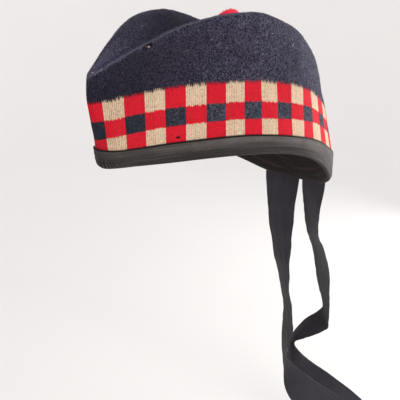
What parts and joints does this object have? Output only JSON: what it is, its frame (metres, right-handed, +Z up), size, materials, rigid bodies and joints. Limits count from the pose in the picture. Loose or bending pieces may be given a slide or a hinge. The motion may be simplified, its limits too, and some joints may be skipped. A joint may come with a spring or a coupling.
{
  "type": "glengarry",
  "caption": "Worn glengarry side cap: creased navy knit crown, red, cream and navy diced band, folded ribbon binding, red toorie and two ribbon tails at the back.",
  "frame": {"origin": "middle of the head opening, 5 mm below the rim at the front fold, where the head goes in", "axes": "+Z up the crown, -Y towards the front fold, +X towards the wearer's left"},
  "size_m": [0.148, 0.3432, 0.4576],
  "materials": {
    "navy_knit": "milled wool knit, matt, with grey lint",
    "diced_knit": "wool knit in red, cream and navy squares, fuzzy",
    "binding_ribbon": "worn black grosgrain ribbon, creased",
    "toorie_wool": "red wool pile",
    "tail_ribbon": "soft black ribbon, low sheen"
  },
  "bodies": {
    "root": {"crown": "navy_knit", "diced_band": "diced_knit", "rim_binding": "binding_ribbon", "toorie": "toorie_wool", "outer_tail": "tail_ribbon", "inner_tail": "tail_ribbon"}
  },
  "joints": []
}
